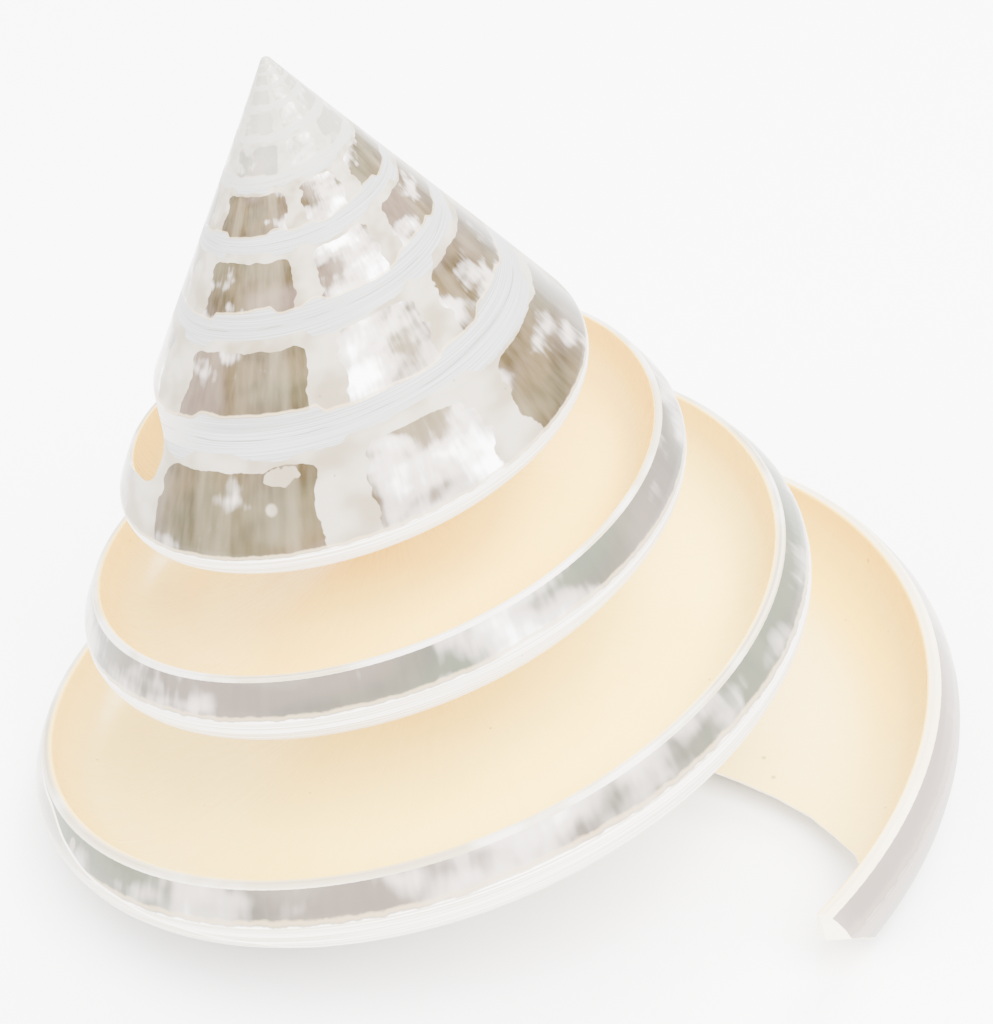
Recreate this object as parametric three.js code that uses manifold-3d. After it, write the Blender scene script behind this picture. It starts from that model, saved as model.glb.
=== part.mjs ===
import * as THREE from 'three';
import { mergeVertices } from 'three/addons/utils/BufferGeometryUtils.js';
import Module from 'manifold-3d';

const wasm = await Module();
wasm.setup();

// The spiral
// A top shell winds clockwise down a straight-sided cone, seen from its apex. The keel is the
// outer edge of each whorl's floor. A place along the spiral is given in turns, with turn 0 on
// the last closed whorl, and sizes across the whorl are fractions of the keel's radius there.
// Above its foot, the spire is a little steeper and ends higher than the cone under it. It
// bulges a little, and its apex stands a little to the side that a turn names.
const keelRadiusAtTurnZero = 17.0;
const growthPerTurn = 0.3196;
const slowingPerTurn = 0.0116;
const coneSlope = 0.6475;
const spireRaise = 1.25;
const spireFoot = -36.0;
const spireBulge = 0.035;
const spireRings = 8;
const spireBend = 0.6;
const spireBendTurn = 0.0;
const stepsPerTurn = 48;
const tubeStepsPerTurn = 24;
const shortestStep = 0.2;

// Along the spiral, in turns
const tubeStart = -1.0;
const windowStart = 20 / stepsPerTurn;
const windowFull = 24 / stepsPerTurn;
const closedTubeEnd = 13 / tubeStepsPerTurn;
const shellEnd = 3 + 6 / stepsPerTurn;

// The closed tube: how snugly it fits its whorl, its tip, and the turns that it takes to widen
const tubeFit = 0.98;
const tubeTip = 0.2;
const tubeTaper = 0.5;
const tubeMiddle = 0.5;

// Across one whorl, as fractions of the keel's radius
const keelRounding = 0.092;
const floorThickness = 0.045;
const floorRise = 0.13;
const floorCurve = 1.6;
const floorEdge = 0.7;
const floorMiddle = 0.35;
const lipWidth = 0.028;
const lipReachMidway = 0.866;
const lipReachGain = 0.0184;
const lipMidwayTurn = 1.5;
const columellaReach = 0.13;
const columellaFillet = 0.05;
const airMiddle = 0.08;

// How the round of the keel and the curve up to the lip are divided, and the least share of its
// full height that the window opens with
const keelRoundParts = [0, 0.3, 0.6, 1];
const floorCurveDegrees = [30, 60];
const windowLeast = 0.12;

// Where the air lies beside and under the cone, in millimetres, and the cone's spare height
const outsideReach = 3.0;
const farBelow = -90.0;
const farOutside = 60.0;
const nearAxis = 0.3;
const spareHeight = 1.0;
const samePlace = 1e-4;

// The lower end of the columella, in millimetres
const columellaTop = -40.0;
const columellaEnd = -55.4;
const columellaRound = 0.7;
const columellaInset = 0.1;
const freeUnderColumella = -56.2;
const freeUnderFillet = -57.6;
const freeRadius = 5.8;
const freeFilletRadius = 7.6;

// The air in front of the growing edge, seen from above: how far round, and how far out
const growingEdge = [
  [3.02, 0.17],
  [3.04, 0.4],
  [3.052, 0.55],
  [3.064, 0.67],
  [3.077, 0.76],
  [3.09, 0.83],
  [3.105, 0.84],
  [3.117, 0.825],
  [3.123, 0.9],
  [3.126, 1.2],
  [3.2, 1.2],
  [3.2, 0.17],
];
const growingEdgeTop = -51.5;

// How the shell lies on the ground: the apex leans over to the side that a turn names, and
// the keel and the tip of the wall are worn to small flats where they touch the ground
const facing = 1.366;
const leanDegrees = 7.73;
const leanTowardsTurn = 2.534;
const apexHeight = 58.84;
const middleX = 8.88;
const middleY = -1.7;
const groundSide = 200.0;
const groundDepth = 10.0;

const nacre = new THREE.MeshStandardMaterial({ color: 0xe9dfcc, roughness: 0.3, metalness: 0.0 });

// The angle round the axis at a turn
function angleAt(turn) {
  return -Math.PI / 2 - 2 * Math.PI * turn;
}

function keelRadius(turn) {
  return keelRadiusAtTurnZero * Math.exp(growthPerTurn * turn - slowingPerTurn * turn * turn);
}

function keelHeight(turn) {
  return -keelRadius(turn) / coneSlope;
}

// How much wider the spire is at a height than the lower cone would be, drawn on up
function swell(height) {
  const share = (height - spireFoot) / (spireRaise - spireFoot);
  const steeper = (spireFoot / (spireFoot - spireRaise)) * (1 + 4 * spireBulge * share * (1 - share));
  return height <= spireFoot ? 1 : (steeper * (height - spireRaise)) / height;
}

// How far the spire's middle stands to the side at a height
function bend(height) {
  const share = Math.max(0, (height - spireFoot) / (spireRaise - spireFoot));
  const angle = angleAt(spireBendTurn);
  return [spireBend * share * Math.cos(angle), spireBend * share * Math.sin(angle)];
}

function lipReach(turn) {
  return lipReachMidway + lipReachGain * (turn - lipMidwayTurn);
}

// A place in the upright half plane at one turn: distance from the axis and height, in millimetres
function across(turn, reach, rise) {
  const radius = keelRadius(turn);
  return [reach * radius, keelHeight(turn) + rise * radius];
}

// How far a floor has risen above its keel on the way in to the axis
function riseAt(reach) {
  const way = (floorEdge - reach) / (floorEdge - columellaReach);
  return floorRise * Math.max(0, way) ** floorCurve;
}

// The upper side of a floor, from the columella out to the inner edge of the cut lip
function floorTop(turn) {
  const lip = lipReach(turn);
  const lipHeight = (1 - lip) / coneSlope;
  const inner = lip - lipWidth;
  const foot = columellaReach + columellaFillet;
  const line = [
    across(turn, columellaReach, riseAt(columellaReach) + floorThickness + columellaFillet),
    across(turn, foot, riseAt(foot) + floorThickness),
    across(turn, floorMiddle, riseAt(floorMiddle) + floorThickness),
    across(turn, floorEdge, floorThickness),
  ];
  for (const angle of floorCurveDegrees) {
    const swing = THREE.MathUtils.degToRad(angle);
    const reach = floorEdge + (inner - floorEdge) * Math.sin(swing);
    const rise = floorThickness + (lipHeight - floorThickness) * (1 - Math.cos(swing));
    line.push(across(turn, reach, rise));
  }
  line.push(across(turn, inner, lipHeight));
  return line;
}

// The underside of a floor, from the round of the keel in to the columella
function underside(turn) {
  const half = Math.atan(coneSlope);
  const centre = 1 - (keelRounding * (1 + Math.sin(half))) / Math.cos(half);
  const line = [];
  for (const part of keelRoundParts) {
    const angle = half - part * (half + Math.PI / 2);
    const reach = centre + keelRounding * Math.cos(angle);
    line.push(across(turn, reach, keelRounding * (1 + Math.sin(angle))));
  }
  const foot = columellaReach + columellaFillet;
  line.push(across(turn, floorEdge, 0));
  line.push(across(turn, floorMiddle, riseAt(floorMiddle)));
  line.push(across(turn, foot, riseAt(foot)));
  line.push(across(turn, columellaReach, riseAt(columellaReach) - columellaFillet));
  return line;
}

// The open air over one floor and under the floor before it, out past the cone
function openAir(turn) {
  const top = underside(turn - 1);
  const bottom = floorTop(turn);
  const [lipOut, lipHeight] = across(turn, lipReach(turn), (1 - lipReach(turn)) / coneSlope);
  const line = [...bottom, [lipOut + outsideReach, lipHeight]];
  line.push([top[0][0] + outsideReach, top[0][1]], ...top);
  const opened = Math.min(1, (turn - windowStart) / (windowFull - windowStart));
  const share = Math.max(windowLeast, Math.sqrt(1 - (1 - opened) ** 2));
  const middle = (lipHeight + top[0][1]) / 2;
  return line.map(([radius, height]) => [radius, middle + (height - middle) * share]);
}

// The tube of a whorl whose outer wall is whole. It narrows to its end high in the spire
function closedTube(turn) {
  const bottom = floorTop(turn);
  const top = underside(turn - 1).slice(keelRoundParts.length);
  const [lipIn, lipHeight] = bottom[bottom.length - 1];
  const ceiling = keelHeight(turn - 1);
  const corner = [lipIn - (ceiling - lipHeight) * coneSlope, ceiling];
  const line = [...bottom, corner, ...top];
  const share = Math.min(tubeFit, tubeTip + (turn - tubeStart) / tubeTaper);
  const middleRadius = tubeMiddle * keelRadius(turn);
  const middleHeight = (ceiling + lipHeight) / 2;
  return line.map(([radius, height]) => [
    middleRadius + (radius - middleRadius) * share,
    middleHeight + (height - middleHeight) * share,
  ]);
}

// All that lies lower than the middle of the air under the last whorl
function lowerPart(turn) {
  const height = keelHeight(turn - 1) - airMiddle * keelRadius(turn);
  return [
    [nearAxis, farBelow],
    [farOutside, farBelow],
    [farOutside, height],
    [nearAxis, height],
  ];
}

// A closed solid drawn by a section that travels down the spiral. A section's places run
// anticlockwise, outwards along its lower side and back along its upper side
function sweep(section, fromTurn, toTurn, steps = stepsPerTurn) {
  const turns = [fromTurn];
  const firstStep = Math.ceil(fromTurn * steps + shortestStep);
  for (let step = firstStep; step < toTurn * steps - shortestStep; step += 1) {
    turns.push(step / steps);
  }
  turns.push(toTurn);
  const places = [];
  for (const turn of turns) {
    const angle = angleAt(turn);
    for (const [reach, height] of section(turn)) {
      const radius = reach * swell(height);
      const [aside, along] = bend(height);
      places.push(aside + radius * Math.cos(angle), along + radius * Math.sin(angle), height);
    }
  }
  const count = section(fromTurn).length;
  const faces = [];
  for (let ring = 0; ring < turns.length - 1; ring += 1) {
    for (let side = 0; side < count; side += 1) {
      const next = (side + 1) % count;
      const a = ring * count + side;
      const b = ring * count + next;
      faces.push(a, b, b + count, a, b + count, a + count);
    }
  }
  const caps = [
    [fromTurn, 0, false],
    [toTurn, (turns.length - 1) * count, true],
  ];
  for (const [turn, first, last] of caps) {
    const outline = section(turn).map(([radius, height]) => new THREE.Vector2(radius, height));
    for (const [a, b, c] of THREE.ShapeUtils.triangulateShape(outline, [])) {
      faces.push(first + a, first + (last ? b : c), first + (last ? c : b));
    }
  }
  return solidOf(places, faces);
}

// A solid with its faces pointing out
function solidOf(places, faces) {
  let volume = 0;
  const corner = (index) => new THREE.Vector3().fromArray(places, 3 * index);
  for (let face = 0; face < faces.length; face += 3) {
    const [a, b, c] = faces.slice(face, face + 3).map(corner);
    volume += a.dot(b.cross(c));
  }
  const ordered = volume > 0 ? faces : faces.slice().reverse();
  const vertProperties = new Float32Array(places);
  const triVerts = new Uint32Array(ordered);
  return new wasm.Manifold(new wasm.Mesh({ numProp: 3, vertProperties, triVerts }));
}

function solidFrom(geometry) {
  const bare = geometry.clone();
  bare.deleteAttribute('normal');
  bare.deleteAttribute('uv');
  const merged = mergeVertices(bare, samePlace);
  const faces = [];
  for (let face = 0; face < merged.index.count; face += 3) {
    const [a, b, c] = [0, 1, 2].map((step) => merged.index.getX(face + step));
    if (a !== b && b !== c && c !== a) {
      faces.push(a, b, c);
    }
  }
  return solidOf(Array.from(merged.attributes.position.array), faces);
}

// The polished cone, its corners midway between those of the sweeps
function cone() {
  const height = keelRadius(shellEnd) / coneSlope + spareHeight;
  const outline = [
    new THREE.Vector2(0, -height),
    new THREE.Vector2(height * coneSlope, -height),
  ];
  for (let ring = 0; ring < spireRings; ring += 1) {
    const up = THREE.MathUtils.lerp(spireFoot, spireRaise, ring / spireRings);
    outline.push(new THREE.Vector2(-up * coneSlope * swell(up), up));
  }
  outline.push(new THREE.Vector2(0, spireRaise));
  const geometry = new THREE.LatheGeometry(outline, stepsPerTurn, Math.PI / stepsPerTurn);
  geometry.rotateX(Math.PI / 2);
  const { position } = geometry.attributes;
  for (let corner = 0; corner < position.count; corner += 1) {
    const [aside, along] = bend(position.getZ(corner));
    position.setX(corner, position.getX(corner) + aside);
    position.setY(corner, position.getY(corner) + along);
  }
  return solidFrom(geometry);
}

// The free space between the columella's lower end and the ground
function underColumella() {
  const outline = [
    new THREE.Vector2(0, farBelow),
    new THREE.Vector2(freeFilletRadius, farBelow),
    new THREE.Vector2(freeFilletRadius, freeUnderFillet),
    new THREE.Vector2(freeRadius, freeUnderFillet),
    new THREE.Vector2(freeRadius, freeUnderColumella),
    new THREE.Vector2(0, freeUnderColumella),
  ];
  const geometry = new THREE.LatheGeometry(outline, stepsPerTurn / 2);
  geometry.rotateX(Math.PI / 2);
  return solidFrom(geometry);
}

// The columella's lower end, which stops short of the ground
function columella() {
  const reach = (height) => -height * coneSlope * columellaReach - columellaInset;
  const outline = [
    new THREE.Vector2(0, columellaEnd - columellaRound),
    new THREE.Vector2(reach(columellaEnd) - columellaRound, columellaEnd - columellaRound),
    new THREE.Vector2(reach(columellaEnd), columellaEnd),
    new THREE.Vector2(reach(columellaTop), columellaTop),
    new THREE.Vector2(0, columellaTop),
  ];
  const geometry = new THREE.LatheGeometry(outline, stepsPerTurn / 2);
  geometry.rotateX(Math.PI / 2);
  return solidFrom(geometry);
}

// The air in front of the growing edge, seen in plan
function beyondEdge() {
  const plan = (turn, reach) => {
    const angle = angleAt(turn);
    const radius = reach * keelRadius(turn);
    return new THREE.Vector2(radius * Math.cos(angle), radius * Math.sin(angle));
  };
  const shape = new THREE.Shape(growingEdge.map(([turn, reach]) => plan(turn, reach)));
  const depth = growingEdgeTop - farBelow;
  const geometry = new THREE.ExtrudeGeometry(shape, { depth, bevelEnabled: false });
  geometry.translate(0, 0, farBelow);
  return solidFrom(geometry);
}

// The ground that the shell lies on
function ground() {
  const geometry = new THREE.BoxGeometry(groundSide, groundSide, groundDepth);
  geometry.translate(0, 0, -groundDepth / 2);
  return solidFrom(geometry);
}

// From the shell's own frame to the way it lies
function restingMatrix() {
  const angle = angleAt(leanTowardsTurn) + facing;
  const axis = new THREE.Vector3(-Math.sin(angle), Math.cos(angle), 0);
  const turned = new THREE.Matrix4().makeRotationZ(facing);
  const leaned = new THREE.Matrix4().makeRotationAxis(axis, THREE.MathUtils.degToRad(leanDegrees));
  const raised = new THREE.Matrix4().makeTranslation(-middleX, -middleY, apexHeight);
  return raised.multiply(leaned).multiply(turned);
}

function geometryOf(solid) {
  const mesh = solid.getMesh();
  const geometry = new THREE.BufferGeometry();
  geometry.setAttribute('position', new THREE.BufferAttribute(new Float32Array(mesh.vertProperties), 3));
  geometry.setIndex(new THREE.BufferAttribute(new Uint32Array(mesh.triVerts), 1));
  return geometry;
}

function topShell() {
  const halfway = shellEnd + 0.5;
  const past = 0.5 / stepsPerTurn;
  let shell = cone();
  shell = shell.subtract(sweep(closedTube, tubeStart, closedTubeEnd, tubeStepsPerTurn));
  shell = shell.subtract(sweep(openAir, windowStart, shellEnd + 1 + 1 / stepsPerTurn));
  shell = shell.subtract(sweep(lowerPart, shellEnd, halfway + past));
  shell = shell.subtract(sweep(lowerPart, halfway, shellEnd + 1 + past));
  shell = shell.subtract(underColumella());
  shell = shell.add(columella());
  shell = shell.subtract(beyondEdge());
  const lying = geometryOf(shell);
  lying.applyMatrix4(restingMatrix());
  const { array } = lying.attributes.position;
  return geometryOf(solidOf(Array.from(array), Array.from(lying.index.array)).subtract(ground()));
}

const shellMesh = new THREE.Mesh(topShell(), nacre);
shellMesh.name = 'top_shell';

const object = new THREE.Group();
object.add(shellMesh);

export default object;
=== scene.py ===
# %% [markdown]
# A polished top shell, cut open along its spiral, is dressed here over its CAD model. The frame
# comes first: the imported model, in metres, where every later piece has to fit.

# %% The frame
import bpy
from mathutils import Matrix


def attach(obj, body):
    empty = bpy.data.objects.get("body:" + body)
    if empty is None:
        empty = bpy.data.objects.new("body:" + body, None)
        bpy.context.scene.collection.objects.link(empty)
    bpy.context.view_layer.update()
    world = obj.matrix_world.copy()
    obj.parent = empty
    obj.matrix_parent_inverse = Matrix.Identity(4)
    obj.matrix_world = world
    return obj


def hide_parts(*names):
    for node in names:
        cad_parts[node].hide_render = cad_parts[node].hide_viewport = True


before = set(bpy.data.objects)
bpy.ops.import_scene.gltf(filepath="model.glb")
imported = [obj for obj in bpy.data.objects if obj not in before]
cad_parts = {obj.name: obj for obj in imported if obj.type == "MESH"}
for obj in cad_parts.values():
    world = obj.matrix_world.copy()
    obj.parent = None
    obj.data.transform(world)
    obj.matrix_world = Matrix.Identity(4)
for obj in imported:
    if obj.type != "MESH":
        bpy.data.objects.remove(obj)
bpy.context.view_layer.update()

# %% [markdown]
# Blender does the modelling and numpy spaces the steps along each curve.

# %% Modules
import math

import bpy
import numpy as np
from mathutils import Matrix, Vector

bpy.ops.object.select_all(action="DESELECT")

# %% [markdown]
# The spiral. A top shell grows as a tube that winds down a straight cone, clockwise seen from
# its apex. One turn later everything is about a third larger. The keel is the outer edge of
# each whorl's floor, so its radius at a given turn sets every other size there. The intact
# spire isn't quite that cone: it stands a little higher, bulges and is bent by about half a
# millimetre. Turn 0 lies on the spire, and the shell ends an eighth past turn 3.

# %% The spiral's measures
KEEL_AT_TURN_ZERO = 0.0170
GROWTH = 0.3196
SLOWING = 0.0116
CONE_SLOPE = 0.6475
SPIRE_RAISE = 0.00125
SPIRE_FOOT = -0.036
SPIRE_BULGE = 0.035
SPIRE_BEND = 0.0006
CAD_STEPS = 48
WINDOW_START = 19.5 / CAD_STEPS
WINDOW_FULL = 24 / CAD_STEPS
SHELL_END = 3 + 6 / CAD_STEPS
HALF_STEP = 0.5 / CAD_STEPS
STEPS_PER_TURN = 192
NEAR_END = 0.2


def keel_radius(turn):
    return KEEL_AT_TURN_ZERO * math.exp(GROWTH * turn - SLOWING * turn * turn)


def keel_height(turn):
    return -keel_radius(turn) / CONE_SLOPE


def angle_at(turn):
    return -0.5 * math.pi - 2 * math.pi * turn


def spire_share(height):
    """0 at the foot of the spire and 1 at its apex."""
    return max(0.0, (height - SPIRE_FOOT) / (SPIRE_RAISE - SPIRE_FOOT))


def swell(height):
    """How much wider the spire is than the lower cone, drawn on up."""
    share = spire_share(height)
    steeper = SPIRE_FOOT / (SPIRE_FOOT - SPIRE_RAISE) * (1 + 4 * SPIRE_BULGE * share * (1 - share))
    return steeper * (height - SPIRE_RAISE) / height if share else 1.0


def bend(height):
    """How far the spire's middle stands to the side, towards turn 0."""
    aside = SPIRE_BEND * spire_share(height)
    return aside * math.cos(angle_at(0)), aside * math.sin(angle_at(0))


print("keel radius in mm at turns 0 to 3:", [round(1000 * keel_radius(turn), 2) for turn in range(4)])

# %% [markdown]
# Across one whorl, sizes are fractions of the keel's radius. The floor is thin and rises
# towards the axis, and it curves up to the wall. The wall was ground down to a narrow flat
# lip, and the keel itself was worn round by the polishing.

# %% The section's measures
FLOOR_THICKNESS = 0.045
FLOOR_STEPS = 9
FLOOR_RISE = 0.13
FLOOR_CURVE = 1.6
FLOOR_EDGE = 0.7
COLUMELLA_REACH = 0.13
COLUMELLA_FILLET = 0.05
FILLET_STEPS = 4
KEEL_ROUNDING = 0.092
KEEL_POINTS = 11
WALL_STEPS = 9
LIP_REACH = 0.866
LIP_DRIFT = 0.0184
LIP_DRIFT_FROM = 1.5
LIP_WIDTH = 0.020
LIP_ROUNDING = 0.005
LIP_STEPS = 3
LIP_CHAMFER = 0.003
LIP_POINTS = LIP_STEPS + 2
OUTSIDE = 0.0035


def lip_reach(turn):
    return LIP_REACH + LIP_DRIFT * (turn - LIP_DRIFT_FROM)


def rise_at(reach):
    way = (FLOOR_EDGE - reach) / (FLOOR_EDGE - COLUMELLA_REACH)
    return FLOOR_RISE * max(0.0, way) ** FLOOR_CURVE


def arc(count):
    """Angles of a quarter turn, both ends included."""
    return [0.5 * math.pi * step / count for step in range(count + 1)]


def floor_side(turn):
    """Fractions from the columella out to the chamfer of the lip, and the zone of each side."""
    foot = COLUMELLA_REACH + COLUMELLA_FILLET
    foot_rise = rise_at(foot) + FLOOR_THICKNESS
    line = []
    for a in arc(FILLET_STEPS):
        aside, up = COLUMELLA_FILLET * math.cos(a), COLUMELLA_FILLET * (1 - math.sin(a))
        line.append((foot - aside, foot_rise + up))
    flat = np.linspace(foot, FLOOR_EDGE, FLOOR_STEPS)[1:]
    line += [(reach, rise_at(reach) + FLOOR_THICKNESS) for reach in flat]
    lip = lip_reach(turn)
    lip_rise = (1 - lip) / CONE_SLOPE
    inner = lip - LIP_WIDTH
    climb = lip_rise - LIP_ROUNDING - FLOOR_THICKNESS
    for a in arc(WALL_STEPS)[1:]:
        outward, up = (inner - FLOOR_EDGE) * math.sin(a), climb * (1 - math.cos(a))
        line.append((FLOOR_EDGE + outward, FLOOR_THICKNESS + up))
    middle = (inner + LIP_ROUNDING, lip_rise - LIP_ROUNDING)
    for a in arc(LIP_STEPS)[1:]:
        line.append((middle[0] - LIP_ROUNDING * math.cos(a), middle[1] + LIP_ROUNDING * math.sin(a)))
    zones = ["cream"] * (len(line) - 1) + ["lip"] * 3
    drop = 4 * LIP_CHAMFER / (1 - CONE_SLOPE)
    line += [(lip - LIP_CHAMFER, lip_rise), (lip - LIP_CHAMFER + drop, lip_rise - drop)]
    return line, zones


def under_side(turn):
    """Fractions from the top of the keel's round in along the underside to the columella."""
    half = math.atan(CONE_SLOPE)
    centre = 1 - KEEL_ROUNDING * (1 + math.sin(half)) / math.cos(half)
    angles = [half - (half + 0.5 * math.pi) * part for part in np.linspace(0, 1, KEEL_POINTS)]
    line = [(centre + KEEL_ROUNDING * math.cos(a), KEEL_ROUNDING * (1 + math.sin(a))) for a in angles]
    foot = COLUMELLA_REACH + COLUMELLA_FILLET
    line += [(reach, rise_at(reach)) for reach in np.linspace(FLOOR_EDGE, foot, FLOOR_STEPS)]
    foot_rise = rise_at(foot)
    for a in arc(FILLET_STEPS)[1:]:
        aside, down = COLUMELLA_FILLET * math.sin(a), COLUMELLA_FILLET * (1 - math.cos(a))
        line.append((foot - aside, foot_rise - down))
    zones = ["skin"] * KEEL_POINTS + ["under"] * (len(line) - KEEL_POINTS - 1)
    return line, zones


def at_turn(line, turn):
    """Distance from the axis and height, in metres, of fractions at one turn."""
    radius = keel_radius(turn)
    return [(reach * radius, keel_height(turn) + rise * radius) for reach, rise in line]


print("lip rise as a share of the keel's radius:", round((1 - lip_reach(1.5)) / CONE_SLOPE, 3))

# %% [markdown]
# The air between the whorls. It would be natural to extrude the wall itself, but the shell was
# made the other way round: a closed cone, hollow inside, from which a grinder took the wall.
# So the air is the tool. Its section changes as it winds down, which an extrude with rotate and
# resize can't follow, so its rings are written as a mesh, and the Boolean modifier cuts with it.

# %% Air as a swept section
ZONES = ["skin", "cream", "lip", "under"]
NARROWEST_SHARE = 0.04
TUBE_START = -1.0
TUBE_END = 26 / CAD_STEPS
TUBE_WIDENS_OVER = 0.5
TUBE_FIRST_SHARE = 0.2
TUBE_FULL_SHARE = 0.98
TUBE_STEPS = 96
TUBE_MIDDLE = 0.5
BELOW_ALL = -0.09
BEYOND_ALL = 0.06
NEAR_AXIS = 0.0003
KEEL_CLEARANCE = 0.08


def open_air(turn):
    floor, floor_zones = floor_side(turn)
    ceiling, ceiling_zones = under_side(turn - 1)
    line = at_turn(floor, turn)
    top = at_turn(ceiling, turn - 1)
    line.append((line[-1][0] + OUTSIDE, line[-1][1]))
    line.append((top[0][0] + 2 * OUTSIDE, top[0][1]))
    line += top
    opened = min(1.0, (turn - WINDOW_START) / (WINDOW_FULL - WINDOW_START))
    share = max(NARROWEST_SHARE, math.sqrt(1 - (1 - opened) ** 2))
    middle = (line[len(floor) - 2][1] + top[0][1]) / 2
    line = [(reach, middle + (height - middle) * share) for reach, height in line]
    return line, floor_zones + ["lip", "lip", "skin"] + ceiling_zones + ["under"]


def closed_tube(turn):
    floor, _ = floor_side(turn)
    floor = at_turn(floor[:-LIP_POINTS], turn)
    ceiling, _ = under_side(turn - 1)
    top = at_turn(ceiling[KEEL_POINTS:], turn - 1)
    corner = (floor[-1][0] - (keel_height(turn - 1) - floor[-1][1]) * CONE_SLOPE, keel_height(turn - 1))
    line = floor + [corner] + top
    share = min(TUBE_FULL_SHARE, TUBE_FIRST_SHARE + (turn - TUBE_START) / TUBE_WIDENS_OVER)
    middle = (TUBE_MIDDLE * keel_radius(turn), (keel_height(turn - 1) + floor[-1][1]) / 2)
    line = [(middle[0] + (x - middle[0]) * share, middle[1] + (z - middle[1]) * share) for x, z in line]
    return line, ["cream"] * len(line)


def lower_part(turn):
    height = keel_height(turn - 1) - KEEL_CLEARANCE * keel_radius(turn)
    line = [(NEAR_AXIS, BELOW_ALL), (BEYOND_ALL, BELOW_ALL), (BEYOND_ALL, height), (NEAR_AXIS, height)]
    return line, ["under"] * 4


def tool_from(name, places, faces, face_zones):
    mesh = bpy.data.meshes.new(name)
    mesh.from_pydata(places, [], faces)
    tool = bpy.data.objects.new(name, mesh)
    bpy.context.collection.objects.link(tool)
    for zone in ZONES:
        mesh.materials.append(finishes[zone])
    mesh.polygons.foreach_set("material_index", [ZONES.index(zone) for zone in face_zones])
    face_out(tool)
    return tool


def face_out(piece):
    bpy.ops.object.select_all(action="DESELECT")
    bpy.context.view_layer.objects.active = piece
    piece.select_set(True)
    bpy.ops.object.mode_set(mode="EDIT")
    bpy.ops.mesh.select_all(action="SELECT")
    bpy.ops.mesh.normals_make_consistent(inside=False)
    bpy.ops.object.mode_set(mode="OBJECT")
    piece.select_set(False)


def sweep(name, section, start, end, steps=STEPS_PER_TURN):
    first, last = math.ceil(start * steps + NEAR_END), math.ceil(end * steps - NEAR_END)
    turns = [start] + [step / steps for step in range(first, last)] + [end]
    places, faces, face_zones = [], [], []
    for turn in turns:
        angle = angle_at(turn)
        line, zones = section(turn)
        for reach, height in line:
            radius, (aside, along) = reach * swell(height), bend(height)
            places.append((aside + radius * math.cos(angle), along + radius * math.sin(angle), height))
    count = len(line)
    for ring in range(len(turns) - 1):
        for side in range(count):
            a, b = ring * count + side, ring * count + (side + 1) % count
            faces.append((a, b, b + count, a + count))
            face_zones.append(zones[side])
    faces += [tuple(range(count - 1, -1, -1)), tuple(range(len(places) - count, len(places)))]
    face_zones += [zones[0], zones[0]]
    return tool_from(name, places, faces, face_zones)


finishes = {zone: bpy.data.materials.new("shell_" + zone) for zone in ZONES}
air = sweep("air", open_air, WINDOW_START, SHELL_END + 1 + 1 / CAD_STEPS)
print("air:", len(air.data.vertices), "vertices")

# %% [markdown]
# The polished cone starts as a filled circle of many sides at its foot. It is extruded up ring
# by ring, each ring resized and moved a little aside, because the spire bulges and leans by
# less than a millimetre. The last rings close on a small ball: the real tip is worn blunt.

# %% The cone
CONE_SPARE = 0.001
CONE_DEPTH = keel_radius(SHELL_END) / CONE_SLOPE + CONE_SPARE
SIDES = 384
TIP_RADIUS = 0.00042
POLE_RADIUS = 0.00001
SPIRE_RINGS = 26
TIP_RINGS = 7
rings = [(SPIRE_FOOT, SPIRE_FOOT * -CONE_SLOPE)]
tip_half = math.atan(CONE_SLOPE * SPIRE_FOOT / (SPIRE_FOOT - SPIRE_RAISE))
ball_middle = SPIRE_RAISE - TIP_RADIUS / math.sin(tip_half)
ball_meets = ball_middle + TIP_RADIUS * math.sin(tip_half)
for height in np.linspace(SPIRE_FOOT, ball_meets, SPIRE_RINGS)[1:]:
    rings.append((height, -height * CONE_SLOPE * swell(height)))
scale_to_ball = rings[-1][1] / math.cos(tip_half)
for lift in np.linspace(tip_half, 0.5 * math.pi, TIP_RINGS)[1:-1]:
    rings.append((ball_middle + TIP_RADIUS * math.sin(lift), scale_to_ball * math.cos(lift)))
rings.append((ball_middle + TIP_RADIUS, POLE_RADIUS))

bpy.ops.mesh.primitive_circle_add(
    vertices=SIDES, radius=CONE_DEPTH * CONE_SLOPE, fill_type="NGON",
    location=(0, 0, -CONE_DEPTH), rotation=(0, 0, math.pi / SIDES))
shell = bpy.context.object
shell.name = "shell"
bpy.ops.object.transform_apply(location=True, rotation=True, scale=True)
bpy.ops.object.mode_set(mode="EDIT")
bpy.ops.mesh.select_mode(type="FACE")
bpy.ops.mesh.select_all(action="SELECT")
low_height, low_radius, low_middle = -CONE_DEPTH, CONE_DEPTH * CONE_SLOPE, (0.0, 0.0)
for height, radius in rings:
    middle = bend(height)
    step = (middle[0] - low_middle[0], middle[1] - low_middle[1], height - low_height)
    bpy.ops.mesh.extrude_region_move(TRANSFORM_OT_translate={"value": step})
    grow = radius / low_radius
    bpy.ops.transform.resize(value=(grow, grow, 1), center_override=(middle[0], middle[1], height))
    low_height, low_radius, low_middle = height, radius, middle
bpy.ops.mesh.merge(type="CENTER")
bpy.ops.object.mode_set(mode="OBJECT")
face_out(shell)
for zone in ZONES:
    shell.data.materials.append(finishes[zone])
top = max(vertex.co.z for vertex in shell.data.vertices)
print("cone:", len(shell.data.vertices), "vertices, top in mm", round(1000 * top, 2))

# %% [markdown]
# Cutting. Each tool is taken away or added by a Boolean modifier that is applied at once. The
# cut faces keep the finish of the tool that made them, so floors, lips and undersides are
# already told apart when the cutting is done.

# %% Cutting with a tool


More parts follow.
